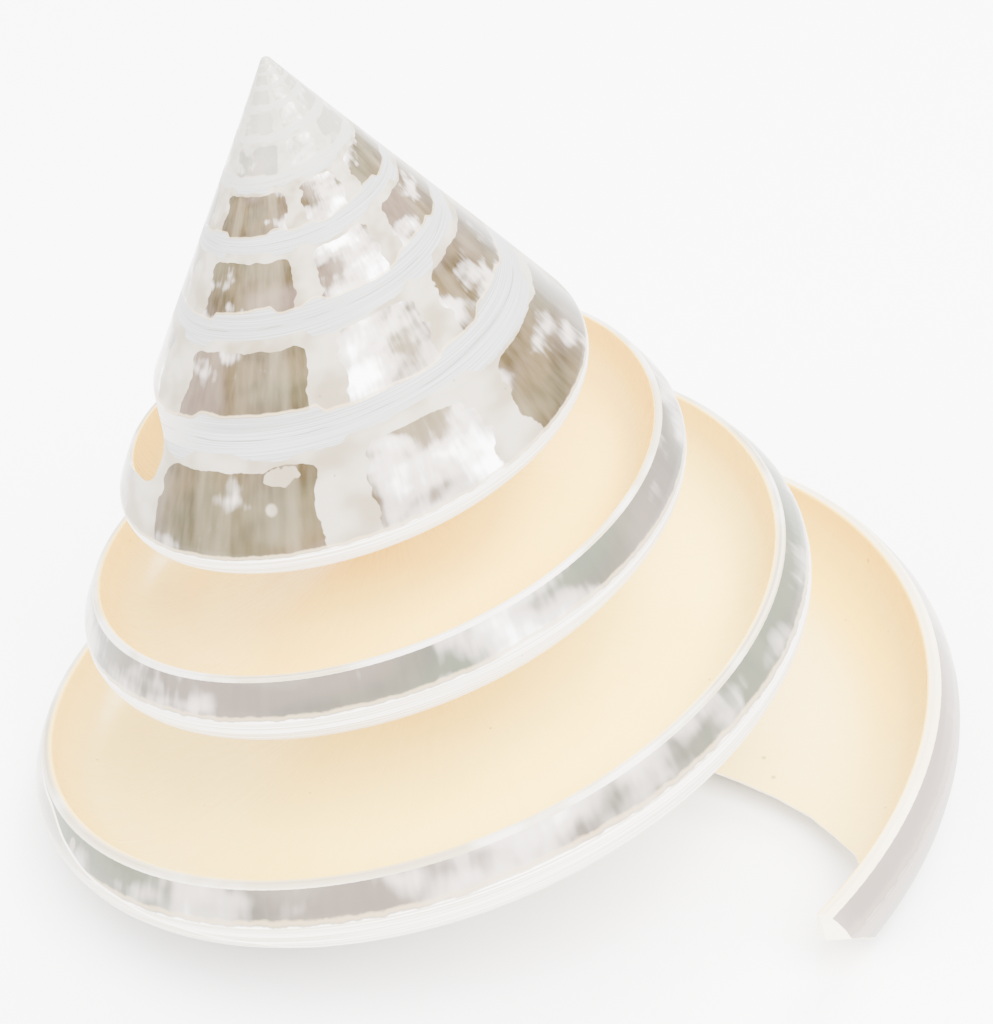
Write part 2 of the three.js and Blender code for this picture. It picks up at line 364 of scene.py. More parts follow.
def cut(piece, tool, operation="DIFFERENCE"):
    modifier = piece.modifiers.new("cut", "BOOLEAN")
    modifier.operation = operation
    modifier.solver = "MANIFOLD"
    modifier.object = tool
    bpy.ops.object.select_all(action="DESELECT")
    bpy.context.view_layer.objects.active = piece
    piece.select_set(True)
    bpy.ops.object.modifier_apply(modifier=modifier.name)
    bpy.data.objects.remove(tool, do_unlink=True)


cut(shell, sweep("tube", closed_tube, TUBE_START, TUBE_END, TUBE_STEPS))
cut(shell, air)
halfway = SHELL_END + 0.5
cut(shell, sweep("lower_part", lower_part, SHELL_END, halfway + HALF_STEP))
cut(shell, sweep("lower_part", lower_part, halfway, SHELL_END + 1 + HALF_STEP))
print("shell:", len(shell.data.vertices), "vertices,", len(shell.data.polygons), "faces")

# %% [markdown]
# The columella is the pillar on the axis that all the floors grow from. Its lower end isn't
# seen in the photograph and is taken as a plain taper with a bevelled edge. A small function
# turns an outline about the axis, because the same one also clears the space under the taper.

# %% The columella
COLUMELLA_TOP = -0.040
COLUMELLA_END = -0.0561
COLUMELLA_SPARE = 0.0001
COLUMELLA_BEVEL = [(0.0008, 0.0), (0.0003, 0.0001), (0.0, 0.0006)]
SPACE_BELOW = [(0.0076, BELOW_ALL), (0.0076, -0.0576), (0.0058, -0.0576), (0.0058, -0.0562)]


def columella_radius(height):
    return -height * CONE_SLOPE * COLUMELLA_REACH - COLUMELLA_SPARE


def turned(name, outline, count=96):
    """A solid of revolution about the axis, from (radius, height) places."""
    places = [(r * math.cos(2 * math.pi * k / count), r * math.sin(2 * math.pi * k / count), z)
              for r, z in outline for k in range(count)]
    faces = [tuple(range(count - 1, -1, -1)), tuple(range(len(places) - count, len(places)))]
    for ring in range(len(outline) - 1):
        for k in range(count):
            a, b = ring * count + k, ring * count + (k + 1) % count
            faces.append((a, b, b + count, a + count))
    return tool_from(name, places, faces, ["under"] * len(faces))


cut(shell, turned("below_columella", SPACE_BELOW))
end_radius = columella_radius(COLUMELLA_END)
taper = [(end_radius - inward, COLUMELLA_END + up) for inward, up in COLUMELLA_BEVEL]
taper.append((columella_radius(COLUMELLA_TOP), COLUMELLA_TOP))
cut(shell, turned("columella", taper), "UNION")
print("columella radius at its end in mm:", round(1000 * end_radius, 2))

# %% [markdown]
# The growing edge is the shell's mouth, where the animal last added to it. Its floor ends in a
# thin curved edge, and the wall goes on past it as a strip. The tool is a plan of that edge,
# as turns and reaches, with sides that slant back under the floor, so that the edge comes out
# thin. The end of the wall slants back in the same way.

# %% The growing edge
EDGE_PLAN = [
    (3.02, 0.17), (3.032, 0.3), (3.04, 0.4), (3.0505, 0.527), (3.0563, 0.596), (3.0639, 0.669),
    (3.0728, 0.731), (3.082, 0.79), (3.0911, 0.83), (3.099, 0.841), (3.111, 0.842), (3.117, 0.848),
    (3.1245, 0.862), (3.125, 0.885), (3.121, 0.92), (3.112, 0.965), (3.100, 1.0), (3.085, 1.03),
    (3.085, 1.2), (3.2, 1.2), (3.2, 0.17),
]
FLOOR_ENDS = 3.1
WALL_BEGINS = 0.9
SLANT_BACK = 0.0045
WALL_SLANT_SHARE = 0.9
SLANT_DEPTH = 0.0032
EDGE_DEPTH = 0.0002
ABOVE_EDGE = -0.0515
CLIMB_REACH = 0.86


def floor_level(turn, reach):
    """Height of a floor's upper side at a reach."""
    lip = lip_reach(turn)
    inner = lip - LIP_WIDTH
    way = min(1.0, max(0.0, (reach - FLOOR_EDGE) / (inner - FLOOR_EDGE)))
    climb = (1 - lip) / CONE_SLOPE - LIP_ROUNDING - FLOOR_THICKNESS
    rise = rise_at(reach) + FLOOR_THICKNESS + climb * (1 - math.sqrt(1 - way * way))
    return keel_height(turn) + rise * keel_radius(turn)


def edge_ring(drop, slant, level=None):
    """One ring of the tool: at a level, or so far under the floor's upper side and back under it."""
    ring = []
    for turn, reach in EDGE_PLAN:
        back = slant if turn < FLOOR_ENDS and reach < WALL_BEGINS else slant * WALL_SLANT_SHARE
        radius = reach * keel_radius(turn)
        angle = angle_at(turn) + back / radius
        height = level or floor_level(min(turn, SHELL_END), min(reach, CLIMB_REACH)) - drop
        ring.append((radius * math.cos(angle), radius * math.sin(angle), height))
    return ring


edge_rings = [
    edge_ring(0, SLANT_BACK, BELOW_ALL), edge_ring(SLANT_DEPTH, SLANT_BACK),
    edge_ring(EDGE_DEPTH, 0), edge_ring(0, 0, ABOVE_EDGE)]
places = [place for ring in edge_rings for place in ring]
count = len(EDGE_PLAN)
faces = [tuple(range(count)), tuple(range(len(places) - 1, len(places) - count - 1, -1))]
for start in range(0, len(places) - count, count):
    for k in range(count):
        a, b = start + k, start + (k + 1) % count
        faces.append((a, b, count + b, count + a))
cut(shell, tool_from("beyond_edge", places, faces, ["under"] * len(faces)))
print("growing edge cut, faces now:", len(shell.data.polygons))

# %% [markdown]
# So far the shell stands on its axis. It lies leaning, on its keel and close to the end of its
# wall, and is worn flat there: a bisect at the ground takes off what would reach below. The
# cuts leave faces of many sides and a few slivers, so those faces are split into triangles and
# the slivers taken out.

# %% Lying down
FACING = 1.366
LEAN = math.radians(7.73)
LEAN_TURN = 2.534
LEAN_TOWARDS = angle_at(LEAN_TURN) + FACING
APEX = Vector((-0.00888, 0.0017, 0.05884))
SLIM = 0.9970
GROUND = 0.00002
CUT_NEARNESS = 0.000001
SAME_PLACE = 0.0000005
QUAD_SIDES = 4
SMOOTH_BELOW = math.radians(32)
lean_axis = Vector((-math.sin(LEAN_TOWARDS), math.cos(LEAN_TOWARDS), 0))
resting = Matrix.Translation(APEX) @ Matrix.Rotation(LEAN, 4, lean_axis) @ Matrix.Rotation(FACING, 4, "Z")
shell.data.transform(resting @ Matrix.Diagonal((SLIM, SLIM, 1, 1)))
bpy.ops.object.select_all(action="DESELECT")
bpy.context.view_layer.objects.active = shell
shell.select_set(True)
bpy.ops.object.mode_set(mode="EDIT")
bpy.ops.mesh.select_all(action="SELECT")
bpy.ops.mesh.bisect(
    plane_co=(0, 0, GROUND), plane_no=(0, 0, 1), use_fill=True, clear_inner=True, threshold=CUT_NEARNESS)
bpy.ops.mesh.select_all(action="SELECT")
bpy.ops.mesh.remove_doubles(threshold=SAME_PLACE)
bpy.ops.mesh.select_mode(type="FACE")
bpy.ops.mesh.select_all(action="DESELECT")
bpy.ops.mesh.select_face_by_sides(number=QUAD_SIDES, type="GREATER")
bpy.ops.mesh.quads_convert_to_tris(ngon_method="BEAUTY")
bpy.ops.mesh.select_all(action="SELECT")
bpy.ops.mesh.dissolve_degenerate(threshold=SAME_PLACE)
bpy.ops.mesh.select_all(action="DESELECT")
bpy.ops.mesh.select_interior_faces()
bpy.ops.mesh.delete(type="ONLY_FACE")
bpy.ops.object.mode_set(mode="OBJECT")
bpy.ops.object.shade_smooth_by_angle(angle=SMOOTH_BELOW)
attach(shell, "root")
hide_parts("top_shell")
low = [min(v.co[k] for v in shell.data.vertices) for k in range(3)]
high = [max(v.co[k] for v in shell.data.vertices) for k in range(3)]
print("shell from", [round(1000 * v, 2) for v in low], "to", [round(1000 * v, 2) for v in high])

# %% [markdown]
# Materials are built from nodes. A small class lets the sums be written as sums: each Value
# holds an output socket, and adding, subtracting, multiplying or dividing makes a Math node.

# %% Sums with nodes


def add_node(tree, kind, values=None, **settings):
    made = tree.nodes.new(kind)
    for name, value in settings.items():
        setattr(made, name, value)
    for socket, value in (values or {}).items():
        if isinstance(value, Value):
            value = value.socket
        if isinstance(value, bpy.types.NodeSocket):
            tree.links.new(value, made.inputs[socket])
        else:
            made.inputs[socket].default_value = value
    return made


class Value:
    def __init__(self, tree, socket):
        self.tree, self.socket = tree, socket

    def sum(self, operation, *others):
        values = {0: self}
        values.update({place + 1: other for place, other in enumerate(others)})
        made = add_node(self.tree, "ShaderNodeMath", values, operation=operation)
        return Value(self.tree, made.outputs[0])

    def __add__(self, other):
        return self.sum("ADD", other)

    def __sub__(self, other):
        return self.sum("SUBTRACT", other)

    def __mul__(self, other):
        return self.sum("MULTIPLY", other)

    def __truediv__(self, other):
        return self.sum("DIVIDE", other)

    def ramp(self, low, high, start=0.0, end=1.0):
        """A smooth change from start to end as the value goes from low to high."""
        values = {0: self, 1: low, 2: high, 3: start, 4: end}
        made = add_node(self.tree, "ShaderNodeMapRange", values, interpolation_type="SMOOTHSTEP")
        return Value(self.tree, made.outputs[0])


def new_group(name, outputs, inputs=()):
    group = bpy.data.node_groups.new(name, "ShaderNodeTree")
    for socket, kind, value in inputs:
        group.interface.new_socket(socket, in_out="INPUT", socket_type=kind).default_value = value
    for socket, kind in outputs:
        group.interface.new_socket(socket, in_out="OUTPUT", socket_type=kind)
    return group


def in_group(tree, group, values=None):
    return add_node(tree, "ShaderNodeGroup", values, node_tree=group)


print("Value makes Math nodes")

# %% [markdown]
# Where on the shell. Growth lines, seams and borders all follow the spiral, so the patterns
# need the turn and the place across the whorl. Object coordinates are brought back to the
# upright shell, and the spiral's own sums are turned round: the height tells which whorl it
# is, and the angle the exact turn. Phase runs from 0 at a keel to 1 at the seam above it.

# %% The group that finds the place on the spiral
SEAM_TOLERANCE = 0.02
LOWEST_LEVEL = 0.005
PLACE_OUTPUTS = ("Turn", "Reach", "Phase", "Rise", "Place", "Grain")
back = (Matrix.Rotation(LEAN, 3, lean_axis) @ Matrix.Rotation(FACING, 3, "Z")).transposed()
place_group = new_group("place_on_the_spiral", [
    ("Turn", "NodeSocketFloat"), ("Reach", "NodeSocketFloat"), ("Phase", "NodeSocketFloat"),
    ("Rise", "NodeSocketFloat"), ("Place", "NodeSocketVector"), ("Grain", "NodeSocketVector")],
    [("Lift", "NodeSocketFloat", SEAM_TOLERANCE)])
tree = place_group
entry = add_node(tree, "NodeGroupInput")
coordinates = add_node(tree, "ShaderNodeTexCoord")
upright = add_node(tree, "ShaderNodeMapping", {
    "Vector": coordinates.outputs["Object"], "Rotation": back.to_euler("XYZ"),
    "Location": -(back @ APEX)}).outputs[0]
split = add_node(tree, "ShaderNodeSeparateXYZ", {0: upright})
x, y, z = (Value(tree, split.outputs[k]) for k in range(3))
share = ((z - SPIRE_FOOT) / (SPIRE_RAISE - SPIRE_FOOT)).sum("MAXIMUM", 0.0)
x = x - share * (SPIRE_BEND * math.cos(angle_at(0)))
y = y - share * (SPIRE_BEND * math.sin(angle_at(0)))
z = z - share.sum("POWER", 3.0) * SPIRE_RAISE
radius = (x * x + y * y).sum("SQRT") / SLIM
angle_turn = (y.sum("ARCTAN2", x) + 0.5 * math.pi) * (-0.5 / math.pi)
level = ((z * -CONE_SLOPE / KEEL_AT_TURN_ZERO).sum("MAXIMUM", LOWEST_LEVEL)).sum("LOGARITHM", math.e)
level_turn = ((level * (-4 * SLOWING) + GROWTH ** 2).sum("SQRT") - GROWTH) * (-0.5 / SLOWING)
turn = angle_turn + (level_turn - angle_turn - Value(tree, entry.outputs["Lift"])).sum("CEIL")
keel = (turn * GROWTH - turn * turn * SLOWING).sum("EXPONENT") * KEEL_AT_TURN_ZERO
phase = level_turn - turn + 1.0
reach = radius / keel
rise = z / keel + 1 / CONE_SLOPE
grain = add_node(tree, "ShaderNodeCombineXYZ", {0: turn, 1: phase, 2: reach}).outputs[0]
add_node(tree, "NodeGroupOutput", {
    "Turn": turn, "Reach": reach, "Phase": phase, "Rise": rise, "Place": upright, "Grain": grain})
print("place group:", len(tree.nodes), "nodes")

# %% [markdown]
# Mixing and clouds. Nearly every mark on the shell is a soft cloud or a ragged patch, drawn out
# along the growth or across it, so small helpers mix two colours, stretch a noise and make a
# mask of it. One more brings in the place on the spiral, and one sets a material's own shader.

# %% Helpers for colours and masks
NOISE_ROUGHNESS = 0.55


def mix(tree, share, first, second):
    made = add_node(tree, "ShaderNodeMix", {0: share, 6: first, 7: second}, data_type="RGBA")
    return Value(tree, made.outputs[2])


def noise(tree, vector, stretch, detail, shift=0.0):
    """Noise that is stretched along the turn, the phase and the reach, about 0.5."""
    moved = add_node(tree, "ShaderNodeMapping", {
        "Vector": vector, "Scale": stretch, "Location": (shift, shift, shift)})
    made = add_node(tree, "ShaderNodeTexNoise", {
        "Vector": moved.outputs[0], "Scale": 1.0, "Detail": detail, "Roughness": NOISE_ROUGHNESS})
    return Value(tree, made.outputs[0])


def cloud(tree, vector, stretch, low, high, detail, shift=0.0):
    """A mask from 0 to 1 of the same noise, between a low and a high value of it."""
    return noise(tree, vector, stretch, detail, shift).ramp(low, high)


def shell_place(tree, lift=SEAM_TOLERANCE):
    made = in_group(tree, place_group, {"Lift": lift})
    return {name: Value(tree, made.outputs[name]) for name in PLACE_OUTPUTS}


def finish_shader(material, **inputs):
    """The material's own Principled BSDF, with these inputs set or linked."""
    tree = material.node_tree
    shader = tree.nodes["Principled BSDF"]
    for name, value in inputs.items():
        socket = shader.inputs[name.replace("_", " ")]
        if isinstance(value, Value):
            tree.links.new(value.socket, socket)
        else:
            socket.default_value = value


for zone in ZONES:
    finishes[zone].use_nodes = True
print("helpers for colours are ready")

# %% [markdown]
# Specks. Dirt in the pores leaves small dark dots on every finish. A Voronoi texture scatters
# the cells and only the rarest of them hold a dot, which keeps the dots apart and irregular.

# %% Specks, for every zone
speck_group = new_group("specks", [("Mask", "NodeSocketFloat")], [
    ("Size", "NodeSocketFloat", 0.1), ("Scale", "NodeSocketFloat", 700.0),
    ("Rarity", "NodeSocketFloat", 0.95)])
tree = speck_group
entry = add_node(tree, "NodeGroupInput")
coordinates = add_node(tree, "ShaderNodeTexCoord")
cells = add_node(tree, "ShaderNodeTexVoronoi", {
    "Vector": coordinates.outputs["Object"], "Scale": entry.outputs["Scale"]})
distance = Value(tree, cells.outputs["Distance"])
chance = Value(tree, add_node(tree, "ShaderNodeSeparateColor", {0: cells.outputs["Color"]}).outputs[0])
size = Value(tree, entry.outputs["Size"])
inside = add_node(tree, "ShaderNodeMapRange", {0: distance, 1: size * 0.6, 2: size, 3: 1.0, 4: 0.0})
rare = chance.sum("GREATER_THAN", Value(tree, entry.outputs["Rarity"]))
add_node(tree, "NodeGroupOutput", {0: Value(tree, inside.outputs[0]) * rare})


def specks(tree, size, scale, rarity):
    made = in_group(tree, speck_group, {"Size": size, "Scale": scale, "Rarity": rarity})
    return Value(tree, made.outputs[0])


print("speck group:", len(speck_group.nodes), "nodes")

# %% [markdown]
# The cream floors were the inside of the tube: porcelain smooth, warmer on the upper floors,
# paler below, yellow where the last floor climbs to its wall. A darker orange is painted as
# shade where each floor climbs steeply to its lip. Faint growth lines cross the floors, and a
# few brown specks lie on them. Colours are linear and stronger than the eye sees, because so
# bright a light pales them.

# %% The cream floors
UPPER_CREAM = (0.93, 0.65, 0.11, 1)
UPPER_ORANGE = (0.90, 0.56, 0.07, 1)
LOWER_CREAM = (0.97, 0.72, 0.16, 1)
LAST_YELLOW = (0.94, 0.60, 0.03, 1)
LAST_PALE = (0.88, 0.66, 0.22, 1)
BROWN_SPECK = (0.12, 0.07, 0.03, 1)
FLOOR_TOLERANCE = 0.05
LOWER_FLOORS_FROM = (1.48, 1.75)
LAST_FLOOR_FROM = (2.62, 2.78)
LAST_FLOOR_TO = (3.12, 2.95)
CLIMB_FROM = (0.66, 0.80)
RIM_SHADE_FROM = (0.800, 0.835)
material = finishes["cream"]
tree = material.node_tree
at = shell_place(tree, FLOOR_TOLERANCE)
broad = cloud(tree, at["Grain"], (5, 0, 5), 0.40, 0.62, 2.0)
colour = mix(tree, broad * 0.55, UPPER_CREAM, UPPER_ORANGE)
lower = at["Turn"].ramp(*LOWER_FLOORS_FROM)
pale = mix(tree, broad * 0.5, LOWER_CREAM, UPPER_CREAM)
colour = mix(tree, lower, colour, pale)
last = at["Turn"].ramp(*LAST_FLOOR_FROM)
yellow = at["Reach"].ramp(*CLIMB_FROM) * at["Turn"].ramp(*LAST_FLOOR_TO)
colour = mix(tree, last, colour, mix(tree, yellow, LAST_PALE, LAST_YELLOW))
# Painted shade: a darker orange where the floor climbs steeply to its lip.
rim_shade_mask = at["Reach"].ramp(*RIM_SHADE_FROM)
colour = mix(tree, rim_shade_mask * 0.45, colour, UPPER_ORANGE)
lines = cloud(tree, at["Grain"], (150, 0, 4), 0.35, 0.7, 2.0)
colour = mix(tree, lines * 0.10, colour, UPPER_ORANGE)
dots = specks(tree, 0.10, 420.0, 0.90) + specks(tree, 0.12, 900.0, 0.97)
colour = mix(tree, dots * 0.55, colour, BROWN_SPECK)
finish_shader(material, Base_Color=colour, Roughness=lines.ramp(0, 1, 0.26, 0.34))
print("cream finish:", len(tree.nodes), "nodes")

# %% [markdown]
# The lip is where the grinder stopped: a narrow flat of off-white layers seen on edge, with
# fine lines that run along it and the cream of the floor at its inner edge. The underside is
# the same pale shell, without that edge.

# %% The cut lip and the underside
LIP_PLAIN = (0.36, 0.30, 0.20, 1)
LIP_STREAK = (0.52, 0.46, 0.35, 1)
UNDER_PLAIN = (0.86, 0.80, 0.70, 1)
UNDER_STREAK = (0.92, 0.88, 0.82, 1)
GREY_PATCH = (0.80, 0.80, 0.80, 1)
INNER_CREAM = (0.95, 0.70, 0.22, 1)
LAST_CREAM = (0.80, 0.68, 0.48, 1)
LIP_SPECK = (0.2, 0.14, 0.09, 1)
INNER_EDGE_TO = (0.832, 0.818)
LAST_LIP_FROM = (2.6, 2.9)
for zone, plain, streak, edge_share in (
        ("lip", LIP_PLAIN, LIP_STREAK, 1.0), ("under", UNDER_PLAIN, UNDER_STREAK, 0.0)):
    material = finishes[zone]
    tree = material.node_tree
    at = shell_place(tree)
    along = cloud(tree, at["Grain"], (4, 40, 160), 0.35, 0.65, 2.0)
    patches = cloud(tree, at["Grain"], (26, 3, 3), 0.42, 0.60, 2.0, 7.0)
    colour = mix(tree, along, plain, streak)
    colour = mix(tree, patches * 0.4, colour, GREY_PATCH)
    inner = (at["Reach"] - at["Turn"] * LIP_DRIFT).ramp(*INNER_EDGE_TO) * edge_share
    colour = mix(tree, inner, colour, INNER_CREAM)
    colour = mix(tree, at["Turn"].ramp(*LAST_LIP_FROM) * 0.7, colour, LAST_CREAM)
    colour = mix(tree, specks(tree, 0.12, 800.0, 0.96) * 0.5, colour, LIP_SPECK)
    finish_shader(material, Base_Color=colour, Roughness=along.ramp(0, 1, 0.36, 0.48))
print("lip and underside finished")

# %% [markdown]
# The skin was polished down to the nacre. Where the polishing went deep, grey pearly windows
# show. Round each seam, and above the keel, a chalky white layer is left, with ragged steps at
# its edge and a thin cream line. All of it follows the spiral, so it is drawn by the distance
# above the keel and below the seam, as fractions of the keel's radius.

# %% The chalky bands
CHALK = (0.34, 0.348, 0.352, 1)
CHALK_SHADE = (0.18, 0.172, 0.16, 1)
BORDER = (0.50, 0.43, 0.34, 1)
BORDER_LIGHT = (0.84, 0.81, 0.76, 1)
CREAM_LINE = (0.46, 0.36, 0.22, 1)
SEAM = (0.12, 0.11, 0.10, 1)
SEAM_RISE = 0.062
SPIRE_TO = (0.62, 0.42)
KEEL_OPEN_FROM = (-0.66, -0.50)
CHALK_TOP = 0.155
OPEN_DROP = -0.027
ALONG_SLOPE = 1 / math.cos(math.atan(CONE_SLOPE))
material = finishes["skin"]
tree = material.node_tree
at = shell_place(tree, 0.0)
turn_at = at["Turn"]
above_keel = at["Rise"] * ALONG_SLOPE
seam_ratio = (turn_at * (2 * SLOWING) - (GROWTH + SLOWING)).sum("EXPONENT")
below_seam = ((seam_ratio * -1.0 + 1.0) / CONE_SLOPE - at["Rise"]) * ALONG_SLOPE
spire = turn_at.ramp(*SPIRE_TO)
open_keel = turn_at.ramp(*KEEL_OPEN_FROM)
wave = noise(tree, at["Grain"], (11, 0.6, 0), 2.0) - 0.5
steps = noise(tree, at["Grain"], (8, 0, 0), 1.0, 3.0).ramp(0.47, 0.52) - 0.5
grit = noise(tree, at["Place"], (900, 900, 900), 2.0) - 0.5
closed = open_keel * -1.0 + 1.0
edge = above_keel + wave * (closed * 0.10 + 0.02) + steps * closed * 0.045 + grit * 0.02
upper_edge = below_seam + wave * 0.10 - steps * 0.045 + grit * 0.03
lowest = open_keel * OPEN_DROP + CHALK_TOP
low_band = (edge - lowest).ramp(0.004, -0.004)
high_band = upper_edge.ramp(0.024, 0.016) * spire
chalk = low_band.sum("MAXIMUM", high_band)
outline = (edge - lowest).ramp(-0.003, 0.006) * (edge - lowest).ramp(0.020, 0.010)
fine = cloud(tree, at["Grain"], (5, 90, 0), 0.35, 0.65, 2.0, 50.0)
white = mix(tree, fine * 0.7, CHALK, CHALK_SHADE)
white = mix(tree, open_keel * low_band, white, mix(tree, fine, BORDER, BORDER_LIGHT))
print("chalky bands drawn")

# %% [markdown]
# Between the bands lies the nacre. Its windows have a soft cloudy depth, with upright lighter
# bars and a touch of green and pink. On them, soft grey and white patches are painted
# reflections of the lights. On the spire the windows stand in columns over each other, with
# matte islands of ragged outline between them. COLUMNS gives stops along one turn: the place,
# how open the nacre lies there, and how strong the painted reflection is there. Noise alone
# would put the windows anywhere, so the columns lead and the noise only frays them.

# %% The nacre
MATTE = (0.22, 0.18, 0.125, 1)
MATTE_LIGHT = (0.34, 0.305, 0.25, 1)
NACRE_DARK = (0.028, 0.018, 0.006, 1)
NACRE = (0.062, 0.043, 0.019, 1)
NACRE_BAR = (0.165, 0.132, 0.085, 1)
SILVER = (0.085, 0.085, 0.075, 1)
LAST_WALL = (0.30, 0.255, 0.24, 1)
LAST_SHADE = (0.15, 0.115, 0.10, 1)
# The pale grey and the white of the painted reflections of the lights on the nacre.
REFLECTION_GREY = (0.42, 0.37, 0.335, 1)
REFLECTION_WHITE = (0.97, 0.96, 0.95, 1)
LAST_WALL_FROM = (2.62, 2.80)
LAST_SHADE_FROM = (2.98, 3.06)
WINDOW_FOOT = (0.06, 0.20)
PATCH_TURN = 0.288
PATCH_HALF_TURN = 0.013
PATCH_PHASE = 0.20
PATCH_HALF_PHASE = 0.07
COLUMNS = [
    (0.00, 1, 0.3), (0.095, 1, 0.3), (0.115, 0, 0.5), (0.130, 0, 0.8), (0.150, 1, 0.9),
    (0.215, 1, 0.75), (0.232, 0, 0.4), (0.250, 0, 0.2), (0.268, 1, 0.05), (0.385, 1, 0.35),
    (0.400, 0.2, 0.5), (0.440, 0.1, 0.5), (0.460, 1, 0.4), (0.560, 1, 0.5), (0.580, 0, 0.6),
    (0.600, 0, 0.5), (0.615, 1, 0.4), (0.730, 1, 0.3), (0.750, 0, 0.5), (0.775, 0, 0.6),
    (0.790, 1, 0.6), (0.900, 1, 0.4), (0.915, 0, 0.4), (0.945, 0, 0.3), (0.965, 1, 0.3),
    (1.00, 1, 0.3),
]
GREENISH = (0.075, 0.10, 0.065, 1)
PINKISH = (0.17, 0.12, 0.11, 1)
# Each stop holds how open the nacre is and how strong the painted reflection of the lights is there.
columns = add_node(tree, "ShaderNodeValToRGB", {0: (turn_at + wave * 0.02).sum("FRACT")})
for column in COLUMNS[1:-1]:
    columns.color_ramp.elements.new(column[0])
for stop, (place, open_share, light) in zip(columns.color_ramp.elements, COLUMNS):
    stop.position = place
    stop.color = (open_share, light, 0, 1)
parts = add_node(tree, "ShaderNodeSeparateColor", {0: columns.outputs[0]})
opening, reflection_strength = Value(tree, parts.outputs[0]), Value(tree, parts.outputs[1])
clouds = cloud(tree, at["Grain"], (18, 2.2, 0), 0.36, 0.62, 2.0, 9.0)
bars = cloud(tree, at["Grain"], (30, 0.4, 0), 0.48, 0.68, 2.0, 5.0)
striae = cloud(tree, at["Grain"], (190, 4, 0), 0.3, 0.7, 1.0, 2.0)
# The painted reflection of the lights: soft noise patches, made stronger where the columns say.
painted_reflection = noise(tree, at["Grain"], (16, 2.0, 0), 2.5, 1.5) + (striae - 0.5) * 0.04 + (reflection_strength - 0.5) * 0.30
reflection_grey_mask = painted_reflection.ramp(0.47, 0.60)
tints = noise(tree, at["Grain"], (7, 1.2, 0), 1.0, 12.0)
green = tints.ramp(0.50, 0.62) * (spire * -0.7 + 1.0)
pink = tints.ramp(0.50, 0.38)
nacre = mix(tree, clouds, NACRE_DARK, NACRE)
nacre = mix(tree, bars * 0.45, nacre, NACRE_BAR)
nacre = mix(tree, striae * 0.15, nacre, NACRE_BAR)
nacre = mix(tree, (spire * -1.0 + 1.0) * 0.6, nacre, SILVER)
nacre = mix(tree, green * 0.35, nacre, GREENISH)
nacre = mix(tree, pink * 0.3, nacre, PINKISH)
# The painted reflection goes on as pale grey, then as white where it is strongest.
nacre = mix(tree, reflection_grey_mask * (clouds * 0.35 + 0.65), nacre, REFLECTION_GREY)
nacre = mix(tree, painted_reflection.ramp(0.60, 0.76), nacre, REFLECTION_WHITE)
last_wall = turn_at.ramp(*LAST_WALL_FROM)
nacre = mix(tree, last_wall * 0.65, nacre, LAST_WALL)
nacre = mix(tree, turn_at.ramp(*LAST_SHADE_FROM) * 0.6, nacre, LAST_SHADE)
margin = at["Phase"].ramp(*WINDOW_FOOT) - 1.0
island = opening - 0.5 + margin + (noise(tree, at["Grain"], (22, 3.2, 0), 2.0, 30.0) - 0.5) * 1.5 + grit * 0.5
patch = ((turn_at - PATCH_TURN) / PATCH_HALF_TURN).sum("POWER", 2.0)
patch = patch + ((at["Phase"] - PATCH_PHASE) / PATCH_HALF_PHASE).sum("POWER", 2.0)
ragged = island.ramp(0.03, -0.03).sum("MAXIMUM", (patch + grit * 3.0).ramp(1.1, 0.9)) * spire
ragged = ragged.sum("MAXIMUM", specks(tree, 0.32, 600.0, 0.985) * 0.8)
matte = mix(tree, clouds, MATTE, MATTE_LIGHT)
colour = mix(tree, ragged, nacre, matte)
print("nacre drawn")

# %% [markdown]
# The skin is put together: nacre, then the chalky bands with their thin cream outline, the
# fine dark seam in the middle of each band, and the paler tip. A growth line climbs over the
# front of the second rim, a dark line with chips runs under the lip, and a few dark specks lie
# on all of it. Chalk and islands are left rougher than the polished nacre.

# %% The skin, put together
TIP = (0.34, 0.33, 0.29, 1)
UNDER_LIP = (0.10, 0.075, 0.05, 1)
SKIN_SPECK = (0.10, 0.08, 0.06, 1)
SPECULAR_TINT = (1.0, 0.88, 0.72, 1)
TIP_FROM = (-2.8, -4.2)
GROWTH_LINE_FROM = (2.22, 2.27)
GROWTH_LINE_TO = (2.52, 2.46)
GROWTH_LINE_START = 2.24
GROWTH_LINE_CLIMB = 0.9
UNDER_LIP_TO = (0.8425, 0.8395)
UNDER_LIP_FROM = (0.42, 0.50)
worn = last_wall * -0.8 + 1.0
colour = mix(tree, chalk * worn, colour, white)
colour = mix(tree, outline * worn * 0.7, colour, CREAM_LINE)
near_seam = (above_keel + wave * 0.045 - SEAM_RISE).sum("ABSOLUTE").ramp(0.0050, 0.0015)
near_seam = near_seam * closed * cloud(tree, at["Grain"], (20, 0, 0), 0.40, 0.55, 1.0, 60.0)
colour = mix(tree, near_seam * 0.7, colour, SEAM)
tip = turn_at.ramp(*TIP_FROM)
colour = mix(tree, tip * 0.7, colour, TIP)
on_second = turn_at.ramp(*GROWTH_LINE_FROM) * turn_at.ramp(*GROWTH_LINE_TO)
growth = above_keel - (turn_at - GROWTH_LINE_START) * GROWTH_LINE_CLIMB - wave * 0.10
colour = mix(tree, growth.ramp(0.003, -0.003) * on_second * 0.45, colour, BORDER)
colour = mix(tree, growth.sum("ABSOLUTE").ramp(0.006, 0.002) * on_second * 0.8, colour, BORDER_LIGHT)
under_lip = (at["Reach"] - turn_at * LIP_DRIFT).ramp(*UNDER_LIP_TO) * turn_at.ramp(*UNDER_LIP_FROM)
chips = cloud(tree, at["Grain"], (60, 0, 60), 0.58, 0.62, 1.0, 70.0)
colour = mix(tree, under_lip * 0.55, colour, mix(tree, chips, UNDER_LIP, CHALK))
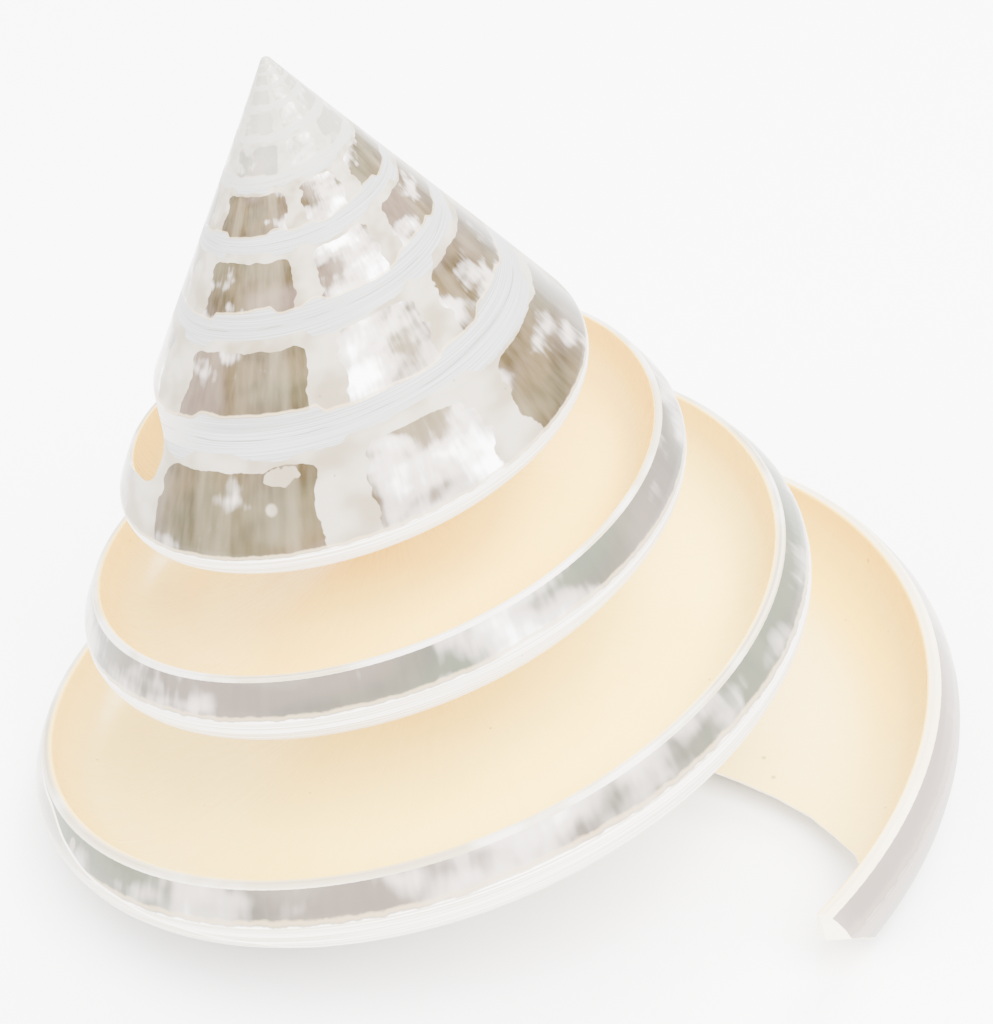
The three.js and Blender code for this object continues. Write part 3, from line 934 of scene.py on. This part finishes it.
dots = specks(tree, 0.10, 900.0, 0.96)
colour = mix(tree, dots * 0.5, colour, SKIN_SPECK)
polished = chalk.sum("MAXIMUM", ragged) * -1.0 + 1.0
finish_shader(
    material, Base_Color=colour, Roughness=polished.ramp(0, 1, 0.42, 0.16),
    Specular_IOR_Level=0.2, Specular_Tint=SPECULAR_TINT)
print("skin finish:", len(tree.nodes), "nodes")

# %% [markdown]
# The studio: a pale floor, a bright even surround and soft lights, and the camera where the
# photographer stood. The camera's place was fitted to the seams and rims in the photograph.

# %% Camera, lights and floor
LENS = 105.47
SENSOR_WIDTH = 36.0
NEAREST = 0.01
CAMERA_PLACE = Matrix((
    (0.980863, 0.182402, -0.068094, -0.012331),
    (-0.159737, 0.553948, -0.817083, -0.178198),
    (-0.111317, 0.812324, 0.572484, 0.146526),
    (0, 0, 0, 1)))
FLOOR_SIZE = 3.0
FLOOR_GREY = (0.92, 0.92, 0.92, 1)
FLOOR_ROUGHNESS = 0.8
SURROUND = 4.4
AIM = Vector((0, 0, 0.02))
LIGHTS = [
    ("key", (0.25, -0.55, 0.85), 0.7, 62.0),
    ("side", (-0.7, -0.25, 0.5), 0.5, 12.0),
    ("back", (0.55, 0.5, 0.75), 0.6, 30.0),
]
camera_data = bpy.data.cameras.new("camera")
camera_data.lens = LENS
camera_data.sensor_width = SENSOR_WIDTH
camera_data.clip_start = NEAREST
camera = bpy.data.objects.new("camera", camera_data)
bpy.context.collection.objects.link(camera)
camera.matrix_world = CAMERA_PLACE
bpy.context.scene.camera = camera

bpy.ops.mesh.primitive_plane_add(size=FLOOR_SIZE, location=(0, 0, 0))
floor = bpy.context.object
floor.name = "floor"
floor_finish = bpy.data.materials.new("pale_floor")
floor_finish.use_nodes = True
finish_shader(floor_finish, Base_Color=FLOOR_GREY, Roughness=FLOOR_ROUGHNESS)
floor.data.materials.append(floor_finish)

world = bpy.data.worlds.new("studio")
world.use_nodes = True
world.node_tree.nodes["Background"].inputs["Color"].default_value = (1, 1, 1, 1)
world.node_tree.nodes["Background"].inputs["Strength"].default_value = SURROUND
bpy.context.scene.world = world

for name, place, size, power in LIGHTS:
    light_data = bpy.data.lights.new(name, "AREA")
    light_data.size = size
    light_data.energy = power
    light = bpy.data.objects.new(name, light_data)
    bpy.context.collection.objects.link(light)
    light.location = place
    light.rotation_euler = (AIM - Vector(place)).to_track_quat("-Z", "Y").to_euler()
print("camera and lights placed:", [light[0] for light in LIGHTS])
